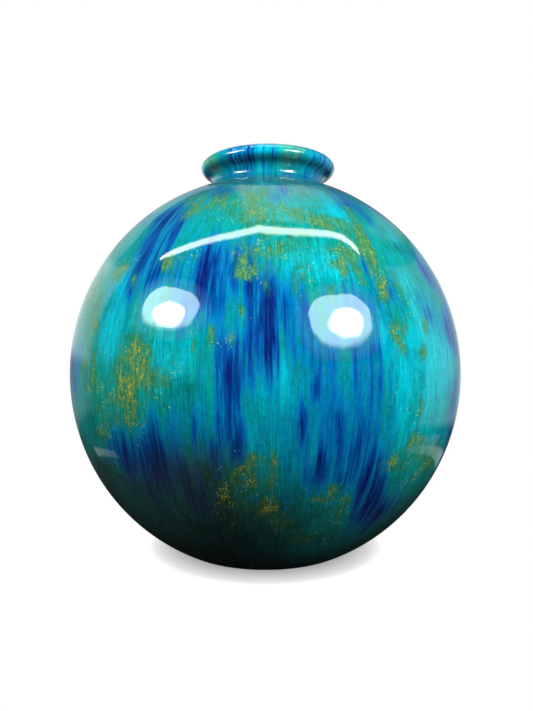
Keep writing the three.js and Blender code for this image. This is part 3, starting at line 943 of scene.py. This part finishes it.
def grain_tree():
    """Strews small flat crystals on a patch of the colour layer, thicker where gold is rich."""
    tree, given, out = tree_with(
        "Strew aventurine grains",
        [
            ("Density", "NodeSocketFloat"),
            ("Seed", "NodeSocketInt"),
            ("Least size", "NodeSocketFloat"),
            ("Largest size", "NodeSocketFloat"),
            ("Lowest", "NodeSocketFloat"),
            ("Highest", "NodeSocketFloat"),
            ("Metal", "NodeSocketMaterial"),
        ],
    )
    position = place(tree, "GeometryNodeInputPosition").outputs[0]
    clumps = place(
        tree, "ShaderNodeTexNoise", inputs={"Vector": position, "Scale": 210.0, "Detail": 3.0}
    ).outputs[0]
    gathered = place(
        tree,
        "ShaderNodeMapRange",
        inputs={"Value": clumps, "From Min": 0.56, "From Max": 0.66},
    ).outputs[0]
    gold = place(
        tree, "GeometryNodeInputNamedAttribute", data_type="FLOAT", inputs={"Name": "richness"}
    ).outputs[0]
    density = sums(tree, "MULTIPLY", sums(tree, "MULTIPLY", gathered, gold), given["Density"])
    strewn = place(
        tree,
        "GeometryNodeDistributePointsOnFaces",
        distribute_method="RANDOM",
        inputs={"Mesh": given["Geometry"], "Density": density, "Seed": given["Seed"]},
    ).outputs
    lift = random_value(tree, LIFT_SEED, given["Lowest"], given["Highest"])
    offset = scaled(tree, strewn["Normal"], lift)
    raised = place(
        tree,
        "GeometryNodeSetPosition",
        inputs={"Geometry": strewn["Points"], "Offset": offset},
    ).outputs[0]
    flake = place(
        tree,
        "GeometryNodeMeshCylinder",
        inputs={"Vertices": 5, "Radius": 1.0, "Depth": 0.5},
    ).outputs["Mesh"]
    most_tilt = (0.55, 0.55, math.pi)
    tilt = random_value(tree, TILT_SEED, tuple(-t for t in most_tilt), most_tilt)
    turned_flake = place(
        tree,
        "FunctionNodeRotateRotation",
        rotation_space="LOCAL",
        inputs={"Rotation": strewn["Rotation"], "Rotate By": tilt},
    ).outputs[0]
    skewed = sums(tree, "POWER", random_value(tree, SIZE_SEED), 2.2)
    size = place(
        tree,
        "ShaderNodeMapRange",
        inputs={
            "Value": skewed,
            "To Min": given["Least size"],
            "To Max": given["Largest size"],
        },
    ).outputs[0]
    shape = random_value(tree, SHAPE_SEED, (0.7, 0.55, 0.3), (1.0, 1.3, 0.6))
    scale = scaled(tree, shape, size)
    placed = place(
        tree,
        "GeometryNodeInstanceOnPoints",
        inputs={"Points": raised, "Instance": flake, "Rotation": turned_flake, "Scale": scale},
    ).outputs[0]
    toned = place(
        tree,
        "GeometryNodeStoreNamedAttribute",
        data_type="FLOAT",
        domain="INSTANCE",
        inputs={
            "Geometry": placed,
            "Name": "tone",
            "Value": random_value(tree, TONE_SEED),
        },
    ).outputs[0]
    real = place(tree, "GeometryNodeRealizeInstances", inputs={"Geometry": toned}).outputs[0]
    finish = place(
        tree, "GeometryNodeSetMaterial", inputs={"Geometry": real, "Material": given["Metal"]}
    ).outputs[0]
    tree.links.new(finish, out.inputs["Geometry"])
    return tree


def patch_host(name, host, richness, s):
    """The faces of the colour layer's outer skin on which a patch of grains is strewn."""
    points = vertex_array(host)
    corners = np.empty(len(host.loops), dtype=np.int32)
    host.loops.foreach_get("vertex_index", corners)
    normals = np.empty(len(host.polygons) * 3, dtype=np.float32)
    host.polygons.foreach_get("normal", normals)
    centres = np.empty(len(host.polygons) * 3, dtype=np.float32)
    host.polygons.foreach_get("center", centres)
    centres = centres.reshape(-1, 3)
    away = centres - np.array([0, 0, s.middle])
    outwards = (normals.reshape(-1, 3) * away).sum(axis=1) > 0
    chosen = []
    for polygon in host.polygons:
        if outwards[polygon.index]:
            ring = corners[polygon.loop_start : polygon.loop_start + polygon.loop_total]
            if richness[ring].max() > LEAST_RICHNESS:
                chosen.append(ring)
    used = np.unique(np.concatenate(chosen))
    renumber = np.full(len(points), -1, dtype=np.int64)
    renumber[used] = np.arange(len(used))
    faces = [tuple(renumber[ring]) for ring in chosen]
    piece = new_piece(name, points[used].astype(float), faces)
    store(piece.data, "richness", richness[used])
    return piece


# ---------------------------------------------------------------- operators


class VaseOperator:
    """What the vase's steps share."""

    bl_options = {"REGISTER", "UNDO"}


class VASE_OT_casing(VaseOperator, bpy.types.Operator):
    """Turn the clear outer casing"""

    bl_idname = "vase.casing"
    bl_label = "Clear casing"

    def execute(self, context):
        s = context.scene.vase_sizes
        piece = turned("clear_glass_casing", casing_profile(s), s, clear_glass(), lathe_tree())
        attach(piece, "root")
        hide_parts("clear_casing")
        return {"FINISHED"}


class VASE_OT_colour_layer(VaseOperator, bpy.types.Operator):
    """Turn the colour layer, with its feathered cobalt streaks"""

    bl_idname = "vase.colour_layer"
    bl_label = "Colour layer"

    def execute(self, context):
        s, c = context.scene.vase_sizes, context.scene.vase_colours
        piece = turned("streaked_colour_layer", colour_profile(s), s, colour_glass(c), lathe_tree())
        store_fields(piece.data, s)
        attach(piece, "root")
        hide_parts("colour_layer", *COBALT_NODES)
        return {"FINISHED"}


class VASE_OT_lining(VaseOperator, bpy.types.Operator):
    """Turn the opal lining, which is the inside of the bowl and the mouth"""

    bl_idname = "vase.lining"
    bl_label = "Opal lining"

    def execute(self, context):
        s, c = context.scene.vase_sizes, context.scene.vase_colours
        piece = turned("opal_glass_lining", lining_profile(s), s, opal_glass(c), lathe_tree())
        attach(piece, "root")
        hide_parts("opal_lining")
        return {"FINISHED"}


class VASE_OT_grains(VaseOperator, bpy.types.Operator):
    """Strew the metallic grains of each aventurine patch"""

    bl_idname = "vase.grains"
    bl_label = "Aventurine grains"

    def execute(self, context):
        s, c = context.scene.vase_sizes, context.scene.vase_colours
        host = bpy.data.objects["streaked_colour_layer"].data
        points = vertex_array(host)
        tree, metal = grain_tree(), grain_metal(c)
        strokes = np.clip(spot_field(points, GOLD_STROKES, s), 0, 1.4) ** 1.5
        near = {n: node_field(points, n, s, PATCH_SPREAD) for n in GOLD_NODES}
        share_of = sum(near.values()) + STRAY_SHARE
        fields = {n: strokes * f / share_of for n, f in near.items()}
        strays = strokes * STRAY_SHARE / share_of + STRAY_RICHNESS
        fields["strays"] = strays * (points[:, 2] > STRAYS_ABOVE)
        for seed, (node, field) in enumerate(fields.items()):
            name = node.replace("aventurine_patch", "gold_grains").replace("strays", "gold_grains_strays")
            piece = patch_host(name, host, field, s)
            values = {
                "Density": s.grain_density,
                "Seed": seed + 1,
                "Least size": s.grain_least,
                "Largest size": s.grain,
                "Lowest": GRAIN_LOWEST,
                "Highest": GRAIN_HIGHEST,
                "Metal": metal,
            }
            grown(piece, tree, values)
            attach(piece, "root")
            if node in GOLD_NODES:
                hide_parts(node)
        return {"FINISHED"}


# ---------------------------------------------------------------- the studio

HALO_RADIANCE = 10.5
CORE_RADIANCE = 22.0
SPILL_RADIANCE = 0.75
HALO_EDGE = 0.88
PANEL_OVERHANG = 1.5
ROUNDNESS = 2.6
STRIP_REACH = 6.0
STRIP_RADIANCE = 12
# The patch of sky overhead, as directions across and back, and its elevation.
SKYLIGHT_ACROSS = ((-0.16, -0.11), (0.40, 0.10))
SKYLIGHT_BACK = ((0.0, 0.05), (0.80, 0.60))
SKYLIGHT_FROM = (20, 30)
SKYLIGHT_RADIANCE = 0.70
# The lens as a share of the picture's longer side, and the camera's place as shares of the
# globe's radius, apart from the step aside, which is in metres, and the pitch, in radians.
FOCAL_SHARE = 600 / 711
CAMERA_DISTANCE = 3.225
CAMERA_HEIGHT = 0.151
CAMERA_PITCH = 0.019
CAMERA_ASIDE = 0.0006


def aimed(obj, place_at, target):
    obj.location = place_at
    obj.rotation_euler = (Vector(target) - Vector(place_at)).to_track_quat("-Z", "Y").to_euler()


def softbox(name, azimuth, elevation, distance, size, core, s):
    """A glowing panel that faces the globe: a cool diffuser with the lamp's hot core in it.
    core is the core's place and half sizes, as shares of the panel's half sizes."""
    turn, rise = math.radians(azimuth), math.radians(elevation)
    middle = Vector((0, 0, s.middle))
    way = Vector((math.sin(turn) * math.cos(rise), -math.cos(turn) * math.cos(rise), math.sin(rise)))
    half_x, half_y = size
    sides = ((-1, -1), (1, -1), (1, 1), (-1, 1))
    corners = [(PANEL_OVERHANG * half_x * x, PANEL_OVERHANG * half_y * y, 0) for x, y in sides]
    panel = new_piece(name, corners, [(0, 1, 2, 3)])
    aimed(panel, middle + way * distance, middle)
    material, tree = new_material(name)
    where = place(tree, "ShaderNodeTexCoord").outputs["Object"]
    ripple = noise_of(tree, where, 7.0, 2.0)
    half_sizes = {0: where, 1: (half_x, half_y, 1.0)}
    shares = place(tree, "ShaderNodeVectorMath", operation="DIVIDE", inputs=half_sizes).outputs[0]
    split = place(tree, "ShaderNodeSeparateXYZ", inputs={0: shares}).outputs
    across, up = split["X"], split["Y"]
    far_x = sums(tree, "POWER", sums(tree, "ABSOLUTE", across), ROUNDNESS)
    far_y = sums(tree, "POWER", sums(tree, "ABSOLUTE", up), ROUNDNESS)
    edge = swung(tree, ripple, 0.6, sums(tree, "ADD", far_x, far_y))
    softness = eased_node(tree, up, -0.9, 0.3, 0.6, 0.12)
    inner_edge = sums(tree, "SUBTRACT", HALO_EDGE, softness)
    glow = eased_node(tree, edge, inner_edge, HALO_EDGE, HALO_RADIANCE, 0.0)
    spill = eased_node(tree, edge, 2.9, 0.8, 0.0, SPILL_RADIANCE)
    glow = sums(tree, "ADD", glow, spill)
    core_x, core_y, core_half_x, core_half_y = core
    hot_x = sums(tree, "DIVIDE", sums(tree, "SUBTRACT", across, core_x), core_half_x)
    hot_y = sums(tree, "DIVIDE", sums(tree, "SUBTRACT", up, core_y), core_half_y)
    hot = sums(tree, "MULTIPLY_ADD", hot_x, hot_x, sums(tree, "MULTIPLY", hot_y, hot_y))
    hot = swung(tree, ripple, 1.2, hot)
    heart = eased_node(tree, hot, 0.6, 1.25, CORE_RADIANCE, 0.0)
    cool = emission(tree, (0.80, 0.93, 1.0, 1), glow)
    warm = emission(tree, (1, 1, 1, 1), heart)
    finish_material(tree, place(tree, "ShaderNodeAddShader", inputs={0: cool, 1: warm}).outputs[0])
    panel.data.materials.append(material)
    panel.visible_camera = False


# The long lamp overhead, as directions from the globe: across, back, and half width.
STRIP = [
    (-0.69, 0.05, 0.02), (-0.64, 0.015, 0.05), (-0.54, -0.045, 0.055), (-0.45, -0.08, 0.055),
    (-0.35, -0.11, 0.055), (-0.24, -0.13, 0.055), (-0.12, -0.12, 0.06), (-0.05, -0.095, 0.065),
    (0.01, -0.115, 0.07), (0.11, -0.115, 0.065), (0.23, -0.095, 0.065), (0.34, -0.045, 0.065),
    (0.43, 0.02, 0.065), (0.50, 0.06, 0.06), (0.56, 0.05, 0.05), (0.60, 0.03, 0.04),
    (0.63, 0.00, 0.015),
]


def strip_lamp(name, reach, radiance, s):
    """A glowing ribbon bent round overhead, brightest along its middle."""
    points, faces = [], []
    for across, back, half in STRIP:
        for side in (-1, 0, 1):
            x, y = across, back + side * half
            way = Vector((x, y, math.sqrt(1 - x * x - y * y)))
            points.append(Vector((0, 0, s.middle)) + way * reach)
    for i in range(len(STRIP) - 1):
        for side in (0, 1):
            a = 3 * i + side
            faces.append((a, a + 1, a + 4, a + 3))
    ribbon = new_piece(name, points, faces)
    store(ribbon.data, "middle", [(0, 1, 0)[i % 3] for i in range(len(points))])
    material, tree = new_material(name)
    where = place(tree, "ShaderNodeTexCoord").outputs["Object"]
    worn = noise_of(tree, where, 5.0, 4.0, 0.7)
    glow = swung(tree, worn, 0.9, attribute(tree, "middle"))
    glow = eased_node(tree, glow, 0.0, 0.7, 0, radiance)
    finish_material(tree, emission(tree, (1, 1, 0.86, 1), glow))
    ribbon.data.materials.append(material)
    ribbon.visible_camera = False


# Pale boards round the vase, as its glass mirrors them: azimuth from and to, elevation of
# the lower edge and of the upper edge at both ends, softness in degrees, and radiance.
BOARDS = [
    (-166, -114, (-9, -13), (10, 34), 4, 0.20),
    (-166, -114, (0, 2), (10, 34), 4, 0.60),
    (-178, -135, (8, 22), (40, 33), 4, 0.42),
    (98, 166, (-20, -7), (41, 13), 3, 0.34),
    (124, 162, (41, 16), (50, 26), 4, 0.20),
    (-131, -107, (-22, -29.5), (-19.5, -27), 1, 0.55),
    (98, 128, (-27, -22), (-23.5, -17), 1, 0.22),
    (98, 150, (-30, -18), (-27.5, -15), 1, 0.46),
    (150, 168, (-6, -8), (9, 12), 4, 0.22),
]


def studio_world(c):
    """White behind the vase for the camera. For the rest a dim room with pale boards, above
    a dark ground."""
    world = bpy.data.worlds.new("studio")
    bpy.context.scene.world = world
    world.use_nodes = True
    tree = world.node_tree
    tree.nodes.clear()
    way = place(tree, "ShaderNodeTexCoord").outputs["Generated"]
    split = place(tree, "ShaderNodeSeparateXYZ", inputs={0: way}).outputs
    backwards = sums(tree, "MULTIPLY", split["Y"], -1.0)
    azimuth = sums(tree, "DEGREES", sums(tree, "ARCTAN2", split["X"], backwards))
    elevation = sums(tree, "DEGREES", sums(tree, "ARCSINE", split["Z"]))
    light = eased_node(tree, elevation, -12, 4, 0.028, 0.085)
    for start, end, low, high, soft, radiance in BOARDS:
        share_of = place(
            tree,
            "ShaderNodeMapRange",
            inputs={"Value": azimuth, "From Min": start, "From Max": end},
        ).outputs[0]
        bottom = sums(tree, "MULTIPLY_ADD", share_of, low[1] - low[0], low[0])
        top = sums(tree, "MULTIPLY_ADD", share_of, high[1] - high[0], high[0])
        rise, fall = (start - soft, start + soft), (end + soft, end - soft)
        inside = between(tree, azimuth, rise, fall)
        over = eased_node(tree, sums(tree, "SUBTRACT", elevation, bottom), -0.5 * soft, 0.5 * soft)
        under = eased_node(tree, sums(tree, "SUBTRACT", top, elevation), -0.5 * soft, 0.5 * soft)
        board = sums(tree, "MULTIPLY", inside, sums(tree, "MULTIPLY", over, under))
        light = sums(tree, "MULTIPLY_ADD", board, radiance, light)
    across = between(tree, split["X"], *SKYLIGHT_ACROSS)
    back = between(tree, split["Y"], *SKYLIGHT_BACK)
    skylight = sums(tree, "MULTIPLY", across, back)
    skylight = sums(tree, "MULTIPLY", skylight, eased_node(tree, elevation, *SKYLIGHT_FROM))
    light = sums(tree, "MULTIPLY_ADD", skylight, SKYLIGHT_RADIANCE, light)
    room = place(
        tree, "ShaderNodeBackground", inputs={"Color": (0.90, 1.0, 1.04, 1), "Strength": light}
    )
    plain = place(tree, "ShaderNodeBackground", inputs={"Color": (1, 1, 1, 1), "Strength": 1.0})
    path = place(tree, "ShaderNodeLightPath").outputs["Is Camera Ray"]
    mix = place(
        tree, "ShaderNodeMixShader", inputs={0: path, 1: room.outputs[0], 2: plain.outputs[0]}
    ).outputs[0]
    place(tree, "ShaderNodeOutputWorld", inputs={"Surface": mix})


def studio_floor(c):
    """Plain pale floor that fades into the white surroundings, with a painted contact shadow under the
    base. What it mirrors up stays dim.
    """
    reach = 2.5
    floor = new_piece(
        "studio_floor",
        [(-reach, -reach, 0), (reach, -reach, 0), (reach, reach, 0), (-reach, reach, 0)],
        [(0, 1, 2, 3)],
    )
    material, tree = new_material("pale_floor")
    where = place(tree, "ShaderNodeTexCoord").outputs["Object"]
    away = place(
        tree, "ShaderNodeVectorMath", operation="LENGTH", inputs={0: where}
    ).outputs["Value"]
    # Painted contact shadow: the floor's glow greys where ambient occlusion finds the base close, and only
    # near it.
    painted_contact_shadow = place(
        tree, "ShaderNodeAmbientOcclusion", samples=12, inputs={"Distance": 0.009}
    ).outputs["AO"]
    painted_contact_shadow = sums(tree, "MAXIMUM", painted_contact_shadow, eased_node(tree, away, 0.035, 0.075))
    seen = emission(tree, mixed(tree, painted_contact_shadow, (0.22, 0.22, 0.22), c.floor))
    dark = place(tree, "ShaderNodeBsdfDiffuse", inputs={"Color": (0.012, 0.012, 0.011, 1)}).outputs[0]
    open_air = place(tree, "ShaderNodeBsdfTransparent").outputs[0]
    dim = place(
        tree,
        "ShaderNodeMixShader",
        inputs={0: eased_node(tree, away, 0.10, 0.20), 1: dark, 2: open_air},
    ).outputs[0]
    path = place(tree, "ShaderNodeLightPath").outputs["Is Camera Ray"]
    mix = place(tree, "ShaderNodeMixShader", inputs={0: path, 1: dim, 2: seen}).outputs[0]
    finish_material(tree, mix)
    floor.data.materials.append(material)


class VASE_OT_studio(VaseOperator, bpy.types.Operator):
    """Set the camera, the lamps, the pale floor and the surroundings"""

    bl_idname = "vase.studio"
    bl_label = "Studio"

    def execute(self, context):
        scene = context.scene
        s, c = scene.vase_sizes, scene.vase_colours
        scene.view_settings.view_transform = "Standard"
        lens = bpy.data.cameras.new("camera")
        lens.lens = lens.sensor_width * FOCAL_SHARE
        lens.clip_start = 0.01
        camera = bpy.data.objects.new("camera", lens)
        scene.collection.objects.link(camera)
        camera.location = (
            CAMERA_ASIDE,
            -CAMERA_DISTANCE * s.radius,
            s.middle + CAMERA_HEIGHT * s.radius,
        )
        camera.rotation_euler = (math.pi / 2 - CAMERA_PITCH, 0, 0)
        scene.camera = camera
        softbox("left_softbox", -57.2, 29.3, 0.99, (0.310, 0.188), (0.10, -0.20, 0.56, 0.54), s)
        softbox("right_softbox", 42.8, 25.3, 0.99, (0.320, 0.242), (0.12, -0.06, 0.53, 0.51), s)
        strip_lamp("strip_lamp", STRIP_REACH, STRIP_RADIANCE, s)
        studio_floor(c)
        studio_world(c)
        return {"FINISHED"}


class VASE_PT_panel(bpy.types.Panel):
    """The vase's steps and values"""

    bl_label = "Art Glass Vase"
    bl_idname = "VASE_PT_panel"
    bl_space_type = "VIEW_3D"
    bl_region_type = "UI"
    bl_category = "Vase"

    def draw(self, context):
        for step in STEPS:
            self.layout.operator(step.bl_idname, text=step.bl_label)
        for group in (context.scene.vase_sizes, context.scene.vase_colours):
            box = self.layout.box()
            for name in group.__annotations__:
                box.prop(group, name)


STEPS = (
    VASE_OT_casing,
    VASE_OT_colour_layer,
    VASE_OT_lining,
    VASE_OT_grains,
    VASE_OT_studio,
)
CLASSES = (VaseSizes, VaseColours, *STEPS, VASE_PT_panel)


def register():
    for cls in CLASSES:
        bpy.utils.register_class(cls)
    bpy.types.Scene.vase_sizes = bpy.props.PointerProperty(type=VaseSizes)
    bpy.types.Scene.vase_colours = bpy.props.PointerProperty(type=VaseColours)


def unregister():
    del bpy.types.Scene.vase_colours
    del bpy.types.Scene.vase_sizes
    for cls in reversed(CLASSES):
        bpy.utils.unregister_class(cls)


def main():
    register()
    bpy.ops.vase.casing()
    bpy.ops.vase.colour_layer()
    bpy.ops.vase.lining()
    bpy.ops.vase.grains()
    bpy.ops.vase.studio()


if __name__ == "__main__":
    main()
